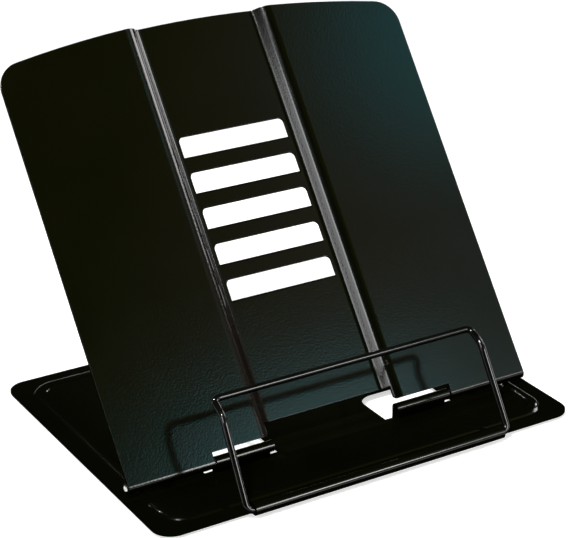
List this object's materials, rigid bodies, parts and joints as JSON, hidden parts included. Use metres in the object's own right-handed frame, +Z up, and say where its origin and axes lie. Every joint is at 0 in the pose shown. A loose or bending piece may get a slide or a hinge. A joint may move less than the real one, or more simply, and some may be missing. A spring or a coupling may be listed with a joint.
{
  "type": "reading stand",
  "caption": "Folding sheet-metal reading stand: hinged back plate with a pressed channel and slots, beaded base, wire page bail in a front curl and a wire prop behind.",
  "frame": {"origin": "centre of the object's box in plan, on the table plane under the pads", "axes": "+X to the reader's right along the hinge, +Y away from the reader, +Z up"},
  "size_m": [0.205, 0.1614, 0.1623],
  "materials": {
    "enamel": "semi-gloss black enamel",
    "wire_enamel": "gloss black enamel",
    "pin_steel": "bright drawn wire",
    "pad_rubber": "matt"
  },
  "bodies": {
    "base": {"base_plate": "enamel", "hinge_pin_left": "pin_steel", "hinge_pin_right": "pin_steel", "pad_front_left": "pad_rubber", "pad_front_right": "pad_rubber", "pad_rear_left": "pad_rubber", "pad_rear_right": "pad_rubber"},
    "plate": {"back_plate": "enamel"},
    "bail": {"page_bail": "wire_enamel"},
    "prop": {"prop_wire": "wire_enamel"}
  },
  "joints": [
    {"name": "plate_tilt", "type": "hinge", "parent": "base", "child": "plate", "pos_m": [0, -0.04063, 0.00725], "axis": [1, 0, 0], "range_deg": [-48, 5]},
    {"name": "prop_swing", "type": "hinge", "parent": "base", "child": "prop", "pos_m": [0, 0.03251, 0.00725], "axis": [1, 0, 0], "range_deg": [-96, 10]},
    {"name": "bail_swing", "type": "hinge", "parent": "base", "child": "bail", "pos_m": [0, -0.07812, 0.00405], "axis": [1, 0, 0], "range_deg": [-26, 123]}
  ],
  "couplings": [
    {"joint": "prop_swing", "follows": "plate_tilt", "ratio": 2}
  ]
}
